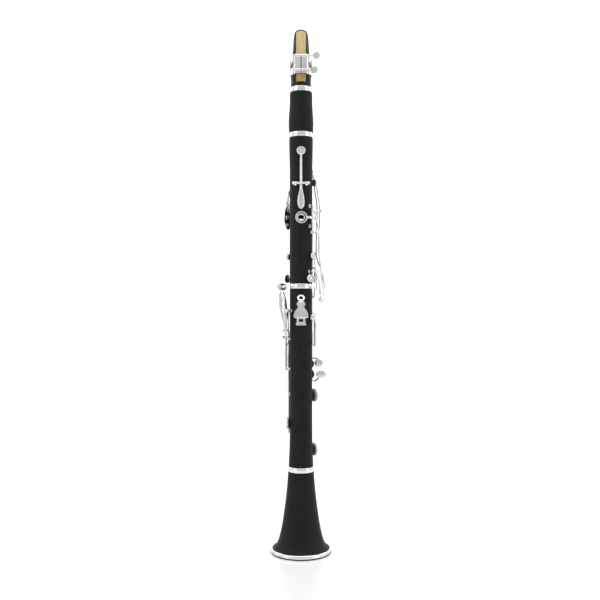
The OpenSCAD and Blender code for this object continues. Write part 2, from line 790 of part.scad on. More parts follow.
module eb_bb_sliver_key() {
    color("silver") {
        cup(eb_bb_hole);
        difference() {
            union() {
                hinge_tube(-48, 367.5, 387.5, 18);
                rod_path([P(-48, 377, 18), cup_top(eb_bb_hole)], arm_d);
                rod_path([P(-48, 382.5, 18.2), P(-34, 382.5, 18.6)], arm_d);
                touch_plate(-30, 382.4, 18, 0, 15, 4, 1.4);
            }
            rod_way(-48, 350, 400, 18);
        }
    }
}

module eb_bb_sliver_pad() {
    pad(eb_bb_hole);
}

// ---- lower joint keys ----

// Three rings, the vent pad above them and the bridge tongue under the upper joint's
module lower_ring_key() {
    color("silver") swing(a_ring_rod, rod_rho, -ring_open) {
        cup(lower_vent_hole);
        for (h = [right_index_hole, right_middle_hole, right_ring_hole]) finger_ring(h, 15.6);
        difference() {
            union() {
                hinge_tube(a_ring_rod, 295, 327.6, rod_rho);
                hinge_tube(a_ring_rod, 253.9, 290.1, rod_rho);
                for (h = [right_index_hole, right_middle_hole, right_ring_hole])
                    arc_arm(h[1], 17.4, 1.4, 2.6, 23, 47);
                arc_arm(322, 18.9, 1.5, 2.6, 13, 47);
                rod_path([P(a_ring_rod, 325, rod_rho + 0.2), P(57, 326.2, 20.4), P(59, 330, 20.5),
                    P(59, 339.5, 20.4)], 2);
                post_strip(a_ring_rod, 286.8, 298.2, rod_rho, -1);
            }
            rod_way(a_ring_rod, 245, 335, rod_rho);
        }
    }
}

module lower_ring_pad() {
    swing(a_ring_rod, rod_rho, -ring_open) pad(lower_vent_hole);
}

module b_fs_sliver_key() {
    color("silver") {
        cup(b_fs_hole);
        difference() {
            union() {
                hinge_tube(93, 266.5, 293, 18);
                rod_path([P(93, 287.6, 18.5), P(106, 291, 19.9), cup_top(b_fs_hole)], arm_d);
                rod_path([P(93, 270, 18.2), P(82, 270, 19.4)], arm_d);
                touch_plate(76, 270, 18.9, 0, 17, 4.4, 1.4);
            }
            rod_way(93, 255, 305, 18);
        }
    }
}

module b_fs_sliver_pad() {
    pad(b_fs_hole);
}

module f_c_key() {
    color("silver") swing(a_foot_rod, rod_rho, f_c_open) {
        cup(f_c_hole);
        difference() {
            union() {
                hinge_tube(a_foot_rod, 189.5, 221.1, rod_rho);
                rod_path([P(a_foot_rod, 199, rod_rho), P(40, 199, 20.6), cup_top(f_c_hole)], arm_d + 0.4);
                rod_path([P(a_foot_rod, 219, rod_rho), P(36, 220.4, 19.6)], arm_d);
                touch_plate(45, 225.8, 18.6, 0, 10.6, 8.6, 1.5);
            }
            rod_way(a_foot_rod, 180, 230, rod_rho);
        }
    }
}

module f_c_pad() {
    swing(a_foot_rod, rod_rho, f_c_open) pad(f_c_hole);
}

module e_b_key() {
    color("silver") swing(a_twin_inner, rod_rho, e_b_open) {
        cup(e_b_hole);
        difference() {
            union() {
                hinge_tube(a_twin_inner, 210.5, 284.6, rod_rho);
                hinge_tube(a_twin_inner, 123.5, 205.6, rod_rho);
                post_strip(a_twin_inner, 202.3, 213.7, rod_rho, 1);
                arc_arm(129, 20.6, 1.6, 3.4, -43, 55);
                bar(P(a_twin_inner, 129, 18.9), P(a_twin_inner, 129, 21.4), 2.4);
                bar(P(52, 129, 21.2), cup_top(e_b_hole), 2.6);
                arc_arm(217, 22.8, 1.5, 2.8, -42, 60);
                bar(P(a_twin_inner, 217, 18.9), P(a_twin_inner, 217, 23.4), 2.2);
                rod_path([P(57, 217.4, 23.6), P(66, 223.5, 24.6)], arm_d);
                arc_arm(282.4, 25.4, 1.5, 2.4, -99.5, -38.5);
                bar(P(a_twin_inner, 282.4, 18.9), P(a_twin_inner, 282.4, 26), 2);
            }
            rod_way(a_twin_inner, 110, 295, rod_rho);
        }
        translate([0, 0, 0]) at(62, 225.6, 23.2) translate([6.6, 0, 0]) linear_extrude(1.7) {
            for (x = [-3.4, 3.4]) translate([x, 0]) circle(d = 9.4, $fn = 32);
            square([6.8, 9.4], center = true);
        }
    }
}

module e_b_pad() {
    swing(a_twin_inner, rod_rho, e_b_open) pad(e_b_hole);
}

module fs_cs_key() {
    color("silver") {
        cup(fs_cs_hole);
        difference() {
            union() {
                hinge_tube(a_twin_outer, 202.5, 276.1, rod_rho);
                hinge_tube(a_twin_outer, 154.5, 197.6, rod_rho);
                post_strip(a_twin_outer, 194.3, 205.7, rod_rho, 1);
                rod_path([P(a_twin_outer, 164, rod_rho + 1), P(-72, 164.2, 20.2), cup_top(fs_cs_hole)], arm_d + 0.2);
                arc_arm(246.2, 23.4, 1.5, 2.6, -60, 62);
                bar(P(a_twin_outer, 246.2, 18.9), P(a_twin_outer, 246.2, 24), 2.2);
                rod_path([P(60, 245.8, 24.1), P(66, 242, 24.7)], arm_d);
                arc_arm(274, 24.6, 1.5, 2.4, -111, -56.5);
                bar(P(a_twin_outer, 274, 18.9), P(a_twin_outer, 274, 25.2), 2);
            }
            rod_way(a_twin_outer, 145, 285, rod_rho);
        }
        at(62, 240.4, 23.6) translate([4.6, 0, 0]) linear_extrude(1.7) {
            for (x = [-2.4, 2.4]) translate([x, 0]) circle(d = 8.8, $fn = 32);
            square([4.8, 8.8], center = true);
        }
    }
}

module fs_cs_pad() {
    pad(fs_cs_hole);
}

module ab_eb_key() {
    color("silver") {
        cup(ab_eb_hole);
        difference() {
            union() {
                hinge_tube(a_foot_rod, 226.1, 239.9, rod_rho);
                rod_path([P(a_foot_rod, 233, rod_rho), cup_top(ab_eb_hole)], arm_d);
                rod_path([P(a_foot_rod, 236.5, rod_rho + 0.6), P(36, 238.6, 20.4)], arm_d);
                touch_plate(44, 239.2, 19.6, 0, 10.4, 8.6, 1.5);
            }
            rod_way(a_foot_rod, 220, 250, rod_rho);
        }
    }
}

module ab_eb_pad() {
    pad(ab_eb_hole);
}

// Left little finger levers, rocking on one rod across the left side
module left_lever(u, points, touch) {
    a = a_left_levers;
    color("silver") {
        difference() {
            union() {
                cross_tube(a, z_left_levers, w_left_levers, u - 2.2, u + 2.2);
                rod_path(points, arm_d, 0);
            }
            cross_rod_way(a, z_left_levers, w_left_levers);
        }
        at(a, touch[1], touch[2]) translate([touch[0], 0, 0]) linear_extrude(1.6) {
            for (y = [-3, 3]) translate([0, y]) circle(d = 7.4, $fn = 32);
            square([7.4, 6], center = true);
        }
    }
}

module left_e_b_lever() {
    a = a_left_levers;
    left_lever(2.5, [S(a, 282, 2.6, 22.3), S(a, z_left_levers + 0.5, 2.4, 21.5), S(a, 330, 3.4, 25.9)],
        [4.4, 333.4, 25.3]);
}

module left_fs_cs_lever() {
    a = a_left_levers;
    left_lever(-2.5, [S(a, 273.8, -3, 22.8), S(a, 290, -3.2, 21.9), S(a, z_left_levers, -2.5, 21.2),
        S(a, 330, -3.4, 26)], [-4.6, 335.4, 25.4]);
}

module left_f_c_lever() {
    color("silver") difference() {
        union() {
            hinge_tube(-95, 236.1, 269.5, 19.6);
            rod_path([P(-95, 264, 19), P(-84, 267.5, 16.5), P(-81, 290, 16.2), P(-70, 298, 17.6)], 1.8);
            touch_plate(-66, 303, 17.6, 0, 17, 6.4, 1.5);
            rod_path([P(-95, 239, 19.6), P(-78, 239, 19.2)], arm_d);
        }
        rod_way(-95, 225, 280, 19.6);
    }
}

bell_body();
bell_rings();
lower_joint_body();
lower_joint_ring();
lower_tenon_cork();
lower_posts();
lower_hinge_rods();
lower_needle_springs();
thumb_rest_base();
thumb_rest_fixing_screws();
thumb_rest_slider();
thumb_rest_lock_screw();
upper_joint_body();
upper_tenon_corks();
upper_bushes();
upper_posts();
upper_hinge_rods();
upper_needle_springs();
barrel_body();
barrel_rings();
mouthpiece_body();
mouthpiece_cork();
reed();
ligature_band();
ligature_screw_upper();
ligature_screw_lower();
register_key();
register_pad();
thumb_ring_key();
a_key();
a_pad();
ab_key();
ab_pad();
trill_key_1();
trill_key_2();
trill_key_3();
trill_key_4();
index_ring_key();
index_ring_pad();
middle_ring_key();
middle_ring_pad();
cs_gs_key();
cs_gs_pad();
eb_bb_sliver_key();
eb_bb_sliver_pad();
lower_ring_key();
lower_ring_pad();
b_fs_sliver_key();
b_fs_sliver_pad();
f_c_key();
f_c_pad();
e_b_key();
e_b_pad();
fs_cs_key();
fs_cs_pad();
ab_eb_key();
ab_eb_pad();
left_e_b_lever();
left_fs_cs_lever();
left_f_c_lever();
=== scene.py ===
import bpy, bmesh, json, math
from mathutils import Matrix, Vector


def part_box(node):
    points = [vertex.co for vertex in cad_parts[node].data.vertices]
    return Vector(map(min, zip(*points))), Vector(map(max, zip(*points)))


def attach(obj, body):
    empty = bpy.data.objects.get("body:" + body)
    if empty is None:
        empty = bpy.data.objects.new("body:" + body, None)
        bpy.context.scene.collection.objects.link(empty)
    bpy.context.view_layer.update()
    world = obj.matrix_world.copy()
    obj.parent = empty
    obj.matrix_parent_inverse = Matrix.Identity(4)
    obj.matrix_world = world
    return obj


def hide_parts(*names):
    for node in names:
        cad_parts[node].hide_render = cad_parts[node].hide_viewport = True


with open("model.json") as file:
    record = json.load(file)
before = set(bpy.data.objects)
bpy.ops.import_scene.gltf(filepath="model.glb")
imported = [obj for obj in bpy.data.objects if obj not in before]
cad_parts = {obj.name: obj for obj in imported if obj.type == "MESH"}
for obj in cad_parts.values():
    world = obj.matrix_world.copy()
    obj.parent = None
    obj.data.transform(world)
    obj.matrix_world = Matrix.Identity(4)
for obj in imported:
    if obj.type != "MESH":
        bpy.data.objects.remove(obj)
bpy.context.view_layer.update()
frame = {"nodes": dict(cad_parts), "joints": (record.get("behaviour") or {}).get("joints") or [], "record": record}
scene = bpy.context.scene
mm = 0.001
print("frame loaded:", len(frame["nodes"]), "nodes")

# heights of the shoulders between the bodies, in mm
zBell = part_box("bell_rings")[1].z / mm
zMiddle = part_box("lower_joint_ring")[1].z / mm
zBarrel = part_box("barrel_body")[0].z / mm
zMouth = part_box("barrel_body")[1].z / mm
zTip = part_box("mouthpiece_body")[1].z / mm

# camera, level, facing the player's side
camSet = {"lens": 48, "sensor": 36, "away": 1.024, "side": -0.0013, "height": 0.3218, "clipEnd": 20}
cam = bpy.data.objects.new("camera", bpy.data.cameras.new("camera"))
scene.collection.objects.link(cam)
cam.data.lens = camSet["lens"]
cam.data.sensor_width = camSet["sensor"]
cam.location = (camSet["side"], -camSet["away"], camSet["height"])
cam.rotation_euler = (math.radians(90), 0, 0)
cam.data.clip_end = camSet["clipEnd"]
cam.data.dof.use_dof = False
scene.camera = cam

lightSet = {
    "key": {"at": (-1.1, -0.7, 0.9), "size": (0.5, 1.5), "power": 4.6, "aim": (0, 0, 0.33)},
    "fill": {"at": (1.1, -0.6, 0.6), "size": (0.5, 1.5), "power": 3.6, "aim": (0, 0, 0.33)},
    "top": {"at": (0.1, -0.3, 1.7), "size": (1.4, 1.0), "power": 7, "aim": (0, 0, 0.2)},
    "wallLeft": {"at": (-1.5, 0.7, 1.2), "size": (1.0, 1.4), "power": 16, "aim": (-0.7, 2.0, 0.5)},
    "wallRight": {"at": (1.5, 0.7, 1.2), "size": (1.0, 1.4), "power": 16, "aim": (0.7, 2.0, 0.5)},
}
for name, lamp in lightSet.items():
    data = bpy.data.lights.new(name + "Light", "AREA")
    data.shape = "RECTANGLE"
    data.size, data.size_y = lamp["size"]
    data.energy = lamp["power"]
    light = bpy.data.objects.new(name + "Light", data)
    light.location = lamp["at"]
    aim = Vector(lamp["aim"]) - light.location
    light.rotation_euler = aim.to_track_quat("-Z", "Y").to_euler()
    scene.collection.objects.link(light)

# surroundings: greys as (place, level), where place runs from 0 at -Y to 1 at +Y
surround = {"first": (0.02, 0.76), "last": (0.55, 0.86), "between": (0.28, 0.80), "strength": 0.85}
world = bpy.data.worlds.new("studio")
world.use_nodes = True
tree = world.node_tree
sky = {"co": tree.nodes.new("ShaderNodeTexCoord"), "split": tree.nodes.new("ShaderNodeSeparateXYZ"),
       "span": tree.nodes.new("ShaderNodeMapRange"), "ramp": tree.nodes.new("ShaderNodeValToRGB")}
sky["span"].inputs["From Min"].default_value = -1
tree.links.new(sky["co"].outputs["Generated"], sky["split"].inputs["Vector"])
tree.links.new(sky["split"].outputs["Y"], sky["span"].inputs["Value"])
tree.links.new(sky["span"].outputs["Result"], sky["ramp"].inputs["Fac"])
stops = sky["ramp"].color_ramp.elements
for stop, part in ((stops[0], "first"), (stops[1], "last")):
    stop.position = surround[part][0]
    stop.color = (*[surround[part][1]] * 3, 1)
stops.new(surround["between"][0]).color = (*[surround["between"][1]] * 3, 1)
back = tree.nodes["Background"]
tree.links.new(sky["ramp"].outputs["Color"], back.inputs["Color"])
back.inputs["Strength"].default_value = surround["strength"]
scene.world = world
scene.view_settings.view_transform = "Standard"
print("camera and lights set:", len(lightSet), "lights")


def rampMaterial(name, low, high, rough, metal=0.0, noiseScale=40, stretch=(1, 1, 1), bump=0.05,
                 bumpScale=400, bumpDeep=0.0004, detail=4, specular=0.5, roughSpread=0.08,
                 rampEnds=(0.3, 0.7), fine="ShaderNodeTexNoise"):
    made = bpy.data.materials.new(name)
    made.use_nodes = True
    tree = made.node_tree
    shader = tree.nodes["Principled BSDF"]
    shader.inputs["Metallic"].default_value = metal
    shader.inputs["Specular IOR Level"].default_value = specular
    coords = tree.nodes.new("ShaderNodeTexCoord")
    mapping = tree.nodes.new("ShaderNodeMapping")
    mapping.inputs["Scale"].default_value = stretch
    tree.links.new(coords.outputs["Object"], mapping.inputs["Vector"])
    noise = tree.nodes.new("ShaderNodeTexNoise")
    noise.inputs["Scale"].default_value = noiseScale
    noise.inputs["Detail"].default_value = detail
    tree.links.new(mapping.outputs["Vector"], noise.inputs["Vector"])
    ramp = tree.nodes.new("ShaderNodeValToRGB")
    ramp.color_ramp.elements[0].position = rampEnds[0]
    ramp.color_ramp.elements[1].position = rampEnds[1]
    ramp.color_ramp.elements[0].color = (*low, 1)
    ramp.color_ramp.elements[1].color = (*high, 1)
    tree.links.new(noise.outputs["Fac"], ramp.inputs["Fac"])
    tree.links.new(ramp.outputs["Color"], shader.inputs["Base Color"])
    spread = tree.nodes.new("ShaderNodeMapRange")
    spread.inputs["To Min"].default_value = rough - roughSpread
    spread.inputs["To Max"].default_value = rough + roughSpread
    tree.links.new(noise.outputs["Fac"], spread.inputs["Value"])
    tree.links.new(spread.outputs["Result"], shader.inputs["Roughness"])
    grain = tree.nodes.new(fine)
    grain.inputs["Scale"].default_value = bumpScale
    tree.links.new(mapping.outputs["Vector"], grain.inputs["Vector"])
    relief = tree.nodes.new("ShaderNodeBump")
    relief.inputs["Strength"].default_value = bump
    relief.inputs["Distance"].default_value = bumpDeep
    level = "Distance" if fine == "ShaderNodeTexVoronoi" else "Fac"
    tree.links.new(grain.outputs[level], relief.inputs["Height"])
    tree.links.new(relief.outputs["Normal"], shader.inputs["Normal"])
    return made


finish = {
    # fine-sanded black, with faint turning marks round the axis
    "blackBody": rampMaterial("blackBody", (0.009, 0.009, 0.0095), (0.012, 0.012, 0.013), 0.55,
                              noiseScale=35, stretch=(1, 1, 6), bump=0.10, bumpScale=900, specular=0.13,
                              roughSpread=0.03),
    "blackMouthpiece": rampMaterial("blackMouthpiece", (0.004, 0.004, 0.004), (0.007, 0.007, 0.008), 0.24,
                                    noiseScale=25, bump=0.02, bumpScale=500, specular=0.22, roughSpread=0.05),
    "plate": rampMaterial("plate", (0.70, 0.70, 0.69), (0.84, 0.84, 0.83), 0.18, metal=1.0, noiseScale=70,
                          bump=0.03, bumpScale=260, roughSpread=0.07),
    "ringPlate": rampMaterial("ringPlate", (0.76, 0.765, 0.77), (0.87, 0.87, 0.87), 0.24, metal=1.0,
                              noiseScale=30, stretch=(1, 1, 40), bumpScale=120),
    "steel": rampMaterial("steel", (0.42, 0.42, 0.43), (0.58, 0.58, 0.59), 0.3, metal=1.0, noiseScale=60,
                          stretch=(1, 1, 12), bump=0.05, bumpScale=500),
    "blued": rampMaterial("blued", (0.02, 0.03, 0.09), (0.06, 0.07, 0.17), 0.28, metal=1.0, noiseScale=200,
                          bump=0.02),
    "cork": rampMaterial("cork", (0.30, 0.17, 0.08), (0.62, 0.43, 0.25), 0.8, noiseScale=320, bump=0.5,
                         bumpScale=700, specular=0.2, fine="ShaderNodeTexVoronoi"),
    "padSkin": rampMaterial("padSkin", (0.78, 0.70, 0.56), (0.90, 0.85, 0.74),
                            0.55, noiseScale=150, bump=0.25,
                            bumpScale=900, specular=0.35),
    "cane": rampMaterial("cane", (0.50, 0.37, 0.17), (0.66, 0.53, 0.29), 0.5, noiseScale=420,
                         stretch=(1, 1, 0.04), bump=0.18, bumpScale=900, specular=0.35),
}
bark = {"from": 0.030, "to": 0.034, "tint": (0.72, 0.56, 0.44)}  # heights above the heel, in metres


def tintBark(tree):  # the uncut bark end is browner than the shaved vamp
    coords = next(n for n in tree.nodes if n.type == "TEX_COORD")
    ramp = next(n for n in tree.nodes if n.type == "VALTORGB")
    split = tree.nodes.new("ShaderNodeSeparateXYZ")
    band = tree.nodes.new("ShaderNodeMapRange")
    band.inputs["From Min"].default_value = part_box("reed")[0].z + bark["from"]
    band.inputs["From Max"].default_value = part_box("reed")[0].z + bark["to"]
    tint = tree.nodes.new("ShaderNodeMix")
    tint.data_type, tint.blend_type = "RGBA", "MULTIPLY"
    tint.inputs["Factor"].default_value = 1.0
    shade = tree.nodes.new("ShaderNodeValToRGB")
    shade.color_ramp.elements[0].color = (*bark["tint"], 1)
    shade.color_ramp.elements[1].color = (1, 1, 1, 1)
    tree.links.new(coords.outputs["Object"], split.inputs["Vector"])
    tree.links.new(split.outputs["Z"], band.inputs["Value"])
    tree.links.new(band.outputs["Result"], shade.inputs["Fac"])
    tree.links.new(ramp.outputs["Color"], tint.inputs["A"])
    tree.links.new(shade.outputs["Color"], tint.inputs["B"])
    tree.links.new(tint.outputs["Result"], tree.nodes["Principled BSDF"].inputs["Base Color"])


tintBark(finish["cane"].node_tree)
slotFinish = {"black_body": "blackBody", "mouthpiece_black": "blackMouthpiece", "plated": "plate",
              "plated_ring": "ringPlate", "rod_steel": "steel", "blued_spring": "blued", "cork": "cork",
              "pad_skin": "padSkin", "cane": "cane"}
slotOf = {s["node"]: s["material_slot"] for s in frame["record"]["subparts"]}
for node, obj in frame["nodes"].items():
    for place in obj.material_slots:
        place.material = finish[slotFinish[slotOf[node]]]
print("materials made:", len(finish))


def polar(a, z, r):  # a in degrees from the finger side towards the player's right
    return Vector((r * math.sin(math.radians(a)), r * math.cos(math.radians(a)), z)) * mm


def across(a):  # the unit vector sideways round the body at that angle
    return Vector((math.cos(math.radians(a)), -math.sin(math.radians(a)), 0))


def spot(p):  # (angle, height, radius), or (angle, height, sideways, outwards)
    if len(p) == 3:
        return polar(*p)
    a, z, u, w = p
    return polar(a, z, w) + across(a) * u * mm


def outward(a, z, w, u=0):  # a matrix whose z points out of the body at that place, and whose y points up
    out = Vector((math.sin(math.radians(a)), math.cos(math.radians(a)), 0))
    m = Matrix((across(a), Vector((0, 0, 1)), out)).transposed().to_4x4()
    m.translation = spot((a, z, u, w))
    return m


def alongLine(p, q):  # a matrix at p whose z points to q
    m = (q - p).to_track_quat("Z", "Y").to_matrix().to_4x4()
    m.translation = p
    return m


def turned(bm, profile, matrix=Matrix.Identity(4), steps=48):  # profile of (radius, height), in mm
    pts = [bm.verts.new(matrix @ Vector((max(r, 0) * mm, 0, z * mm))) for r, z in profile]
    edges = [bm.edges.new(pair) for pair in zip(pts, pts[1:])]
    axis = matrix.to_3x3() @ Vector((0, 0, 1))
    bmesh.ops.spin(bm, geom=pts + edges, cent=matrix.translation, axis=axis, angle=2 * math.pi, steps=steps,
                   use_merge=True)
    bmesh.ops.remove_doubles(bm, verts=bm.verts, dist=1e-6)


def rounded(profile, r, n=3):  # rounds the corners of a profile by r, in mm
    out = []
    for i, p in enumerate(profile):
        p = Vector(p)
        if i in (0, len(profile) - 1):
            out.append(tuple(p))
            continue
        a, b = Vector(profile[i - 1]), Vector(profile[i + 1])
        ra = min(r, (a - p).length * 0.45)
        rb = min(r, (b - p).length * 0.45)
        s, e = p + (a - p).normalized() * ra, p + (b - p).normalized() * rb
        for k in range(n + 1):
            t = k / n
            out.append(tuple(s.lerp(p, t).lerp(p.lerp(e, t), t)))
    return out


def eased(points, per=5):  # a smooth path through the points
    if len(points) < 3:
        return [points[0].lerp(points[-1], k / per) for k in range(per + 1)]
    out = []
    pts = [points[0] * 2 - points[1]] + points + [points[-1] * 2 - points[-2]]
    for i in range(1, len(pts) - 2):
        a, b, c, d = pts[i - 1:i + 3]
        for k in range(per):
            t = k / per
            out.append(0.5 * ((2 * b) + (c - a) * t + (2 * a - 5 * b + 4 * c - d) * t * t
                              + (3 * b - a - 3 * c + d) * t ** 3))
    out.append(points[-1])
    return out


def arm(bm, points, wide=(1.3, 1.3), thick=0.9, roll=0, segs=12):  # an oval bar; wide and thick are halves
    path = eased([spot(p) for p in points])
    n = len(path) - 1
    ring, last = None, None
    stations = []
    for i, p in enumerate(path):
        t = (path[min(i + 1, n)] - path[max(i - 1, 0)]).normalized()
        up = Vector((p.x, p.y, 0)).normalized()
        side = t.cross(up).normalized()
        up = side.cross(t).normalized()
        twist = Matrix.Rotation(math.radians(roll), 3, t)
        side, up = twist @ side, twist @ up
        w = (wide[0] + (wide[1] - wide[0]) * i / n) * mm
        stations.append([p, t, side, up, w, thick * mm])
    p, t, s, u, w, h = stations[0]
    stations.insert(0, [p - t * w * 0.7, t, s, u, w * 0.4, h * 0.4])
    p, t, s, u, w, h = stations[-1]
    stations.append([p + t * w * 0.7, t, s, u, w * 0.4, h * 0.4])
    for p, t, s, u, w, h in stations:
        m = Matrix((s * w, u * h, t * mm)).transposed().to_4x4()
        m.translation = p
        if ring is None:
            made = bmesh.ops.create_circle(bm, cap_ends=False, segments=segs, radius=1, matrix=m)
            ring = made["verts"]
            edges = list({e for v in ring for e in v.link_edges})
            bmesh.ops.contextual_create(bm, geom=edges)
        else:
            made = bmesh.ops.extrude_edge_only(bm, edges=edges)["geom"]
            ring = [g for g in made if isinstance(g, bmesh.types.BMVert)]
            edges = [g for g in made if isinstance(g, bmesh.types.BMEdge)]
            bmesh.ops.transform(bm, matrix=m @ last.inverted(), verts=ring)
        last = m
    bmesh.ops.contextual_create(bm, geom=edges)


def arcPath(z, r, a0, a1, step=12):
    n = max(2, round(abs(a1 - a0) / step))
    return [(a0 + (a1 - a0) * k / n, z, r) for k in range(n + 1)]


def touch(bm, matrix, long, wide, thick=1.6, crown=0.5, slim=0.0, turnBy=0.0, segs=28):
    # a rounded finger piece: y is its length; slim narrows its upper end
    levels = [(0.80, 0), (0.95, 0.12), (1, 0.4), (1, 0.7), (0.94, 0.92), (0.82, 1.0), (0.5, 1.0), (0.18, 1.0)]
    ring = bmesh.ops.create_circle(bm, cap_ends=True, segments=segs, radius=1)["verts"]
    every = list(ring)
    edges = list({e for v in ring for e in v.link_edges})
    scale = 1
    for i, (s, h) in enumerate(levels):
        if i:
            made = bmesh.ops.extrude_edge_only(bm, edges=edges)["geom"]
            ring = [g for g in made if isinstance(g, bmesh.types.BMVert)]
            edges = [g for g in made if isinstance(g, bmesh.types.BMEdge)]
            every += ring
        bmesh.ops.scale(bm, vec=(s / scale, s / scale, 1), verts=ring)
        scale = s
        top = crown * (1 - s * s) if h == 1.0 else 0
        for v in ring:
            v.co.z = h * thick + top
    bmesh.ops.contextual_create(bm, geom=edges)
    for v in every:
        y = v.co.y
        v.co.x *= wide / 2 * mm * (1 - slim * (0.5 + 0.5 * y))
        v.co.y *= long / 2 * mm
        v.co.z *= mm
    bmesh.ops.transform(bm, matrix=matrix @ Matrix.Rotation(turnBy, 4, "Z"), verts=every)


def hingeTube(bm, p, q, r=1.6, collar=0.12, bore=0.85):  # a tube from p to q with a collar at each end
    n = (q - p).length / mm
    turned(bm, rounded([(bore, 0), (r + collar, 0), (r + collar, 1.1), (r, 1.3), (r, n - 1.3),
                        (r + collar, n - 1.1), (r + collar, n), (bore, n), (bore, 0)], 0.15, 2),
           alongLine(p, q), 24)


def cup(bm, a, z, u, seat, w, extra=0.0):  # its heights are from the pad's underside
    r = seat + 0.2
    ro = r + 0.5 + extra
    turned(bm, [(0, 2.35), (r, 2.35), (r, 0.85), (ro - 0.1, 0.8), (ro, 0.95), (ro, 2.0), (ro - 0.12, 2.5),
                (ro - 0.5, 2.95), (ro * 0.86, 3.2), (ro * 0.84, 3.28), (ro * 0.8, 3.26), (ro * 0.5, 3.5),
                (ro * 0.25, 3.6), (0, 3.62)], outward(a, z, w + 0.05, u), 40)


def fingerRing(bm, a, z, w, inner=6.6, outer=8.2, high=1.5):
    turned(bm, rounded([(inner, 0.15), (inner, high), (outer - 0.2, high), (outer, high - 0.3), (outer, 0),
                        (inner + 0.3, 0), (inner, 0.15)], 0.45, 3), outward(a, z, w), 56)


def addPiece(name, bm, look, body, nodes=(), bevelBy=0, flat=35):
    bmesh.ops.remove_doubles(bm, verts=bm.verts, dist=2e-6)
    bmesh.ops.recalc_face_normals(bm, faces=bm.faces)
    mesh = bpy.data.meshes.new(name)
    bm.to_mesh(mesh)
    bm.free()
    mesh.materials.append(finish[look])
    obj = bpy.data.objects.new(name, mesh)
    scene.collection.objects.link(obj)
    mesh.shade_smooth()
    mesh.set_sharp_from_angle(angle=math.radians(flat))
    if bevelBy:
        bevel = obj.modifiers.new("edges", "BEVEL")
        bevel.width, bevel.segments, bevel.limit_method = bevelBy * mm, 2, "ANGLE"
    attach(obj, body)
    if nodes:
        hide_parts(*nodes)
    return obj


# bell, joint ring and barrel; outlines are (radius, height)
bell = {
    "outer": [(37.2, 0), (38.1, 0.25), (38.4, 0.8), (38.2, 1.45), (36.9, 1.6), (36.4, 4.6), (34.9, 5.6),
              (33.1, 7.2), (30.9, 10.6), (29.1, 14.6), (27.3, 20.5),
              (26.0, 26.1), (24.8, 31.8), (23.7, 37.6), (22.8, 43.4), (22.0, 49.2), (20.4, 60.7),
              (19.0, 72.2),
              (17.9, 83.7), (17.2, 91.4), (16.5, zBell - 6.4), (15.2, zBell - 6.4), (15.2, zBell)],
    "inner": [(11.25, zBell), (11.25, zBell - 18.5), (11.0, zBell - 18.5), (11.6, 78), (12.6, 66), (13.7, 56),
              (15.2, 46), (17.1, 36), (19.4, 27), (22.2, 18.5), (25.4, 11.5), (28.6, 6.4), (31.4, 2.6),
              (33.6, 0)],
    "ring": [(36.8, 1.5), (37.9, 1.5), (38.5, 1.8), (38.75, 2.5), (38.8, 3.3), (38.6, 4.3), (38.1, 5.3),
             (37.3, 5.8), (36.5, 5.5), (36.3, 4.8), (36.8, 1.5)],
}
bm = bmesh.new()
turned(bm, bell["outer"] + bell["inner"] + bell["outer"][:1], steps=128)
addPiece("bellShell", bm, "blackBody", "bell", ["bell_body"])


def socketRing(bm, z, rOut, rIn, high=6.4):
    turned(bm, [(rIn, z), (rOut - 0.55, z), (rOut - 0.2, z + 0.2), (rOut, z + 0.6),
                (rOut + 0.06, z + high / 2),
                (rOut, z + high - 0.6), (rOut - 0.2, z + high - 0.2), (rOut - 0.55, z + high),
                (rIn, z + high),
                (rIn, z)], steps=96)


bm = bmesh.new()
turned(bm, bell["ring"], steps=128)
socketRing(bm, zBell - 6.4, 16.6, 15.2)
addPiece("bellRings", bm, "ringPlate", "bell", ["bell_rings"])

bm = bmesh.new()
socketRing(bm, zMiddle - 6.4, 14.7, 13.2)
addPiece("middleRing", bm, "ringPlate", "lower_joint", ["lower_joint_ring"])

barrel = {"outer": [(13.2, 0), (13.2, 6.4), (15.35, 6.4), (15.55, 9), (15.75, 12.6), (15.86, 18),
                    (15.8, 22), (15.6, 26), (15.25, 31), (14.9, 36), (14.6, 41), (14.42, 47), (14.4, 55),
                    (14.35, 56.4), (13.9, 57.8),
                    (12.9, 57.8), (12.9, 64.2)],
          "inner": [(11.25, 64.2), (11.25, 48.2), (7.5, 48.2), (7.5, 15.5), (11.25, 15.5), (11.25, 0),
                    (13.2, 0)]}
bm = bmesh.new()
turned(bm, [(r, z + zBarrel) for r, z in barrel["outer"] + barrel["inner"]], steps=96)
addPiece("barrelShell", bm, "blackBody", "barrel", ["barrel_body"])
bm = bmesh.new()
socketRing(bm, zBarrel, 15.3, 13.2)
socketRing(bm, zMouth - 6.4, 14.14, 12.9)
addPiece("barrelRings", bm, "ringPlate", "barrel", ["barrel_rings"])
print("turned bodies made")

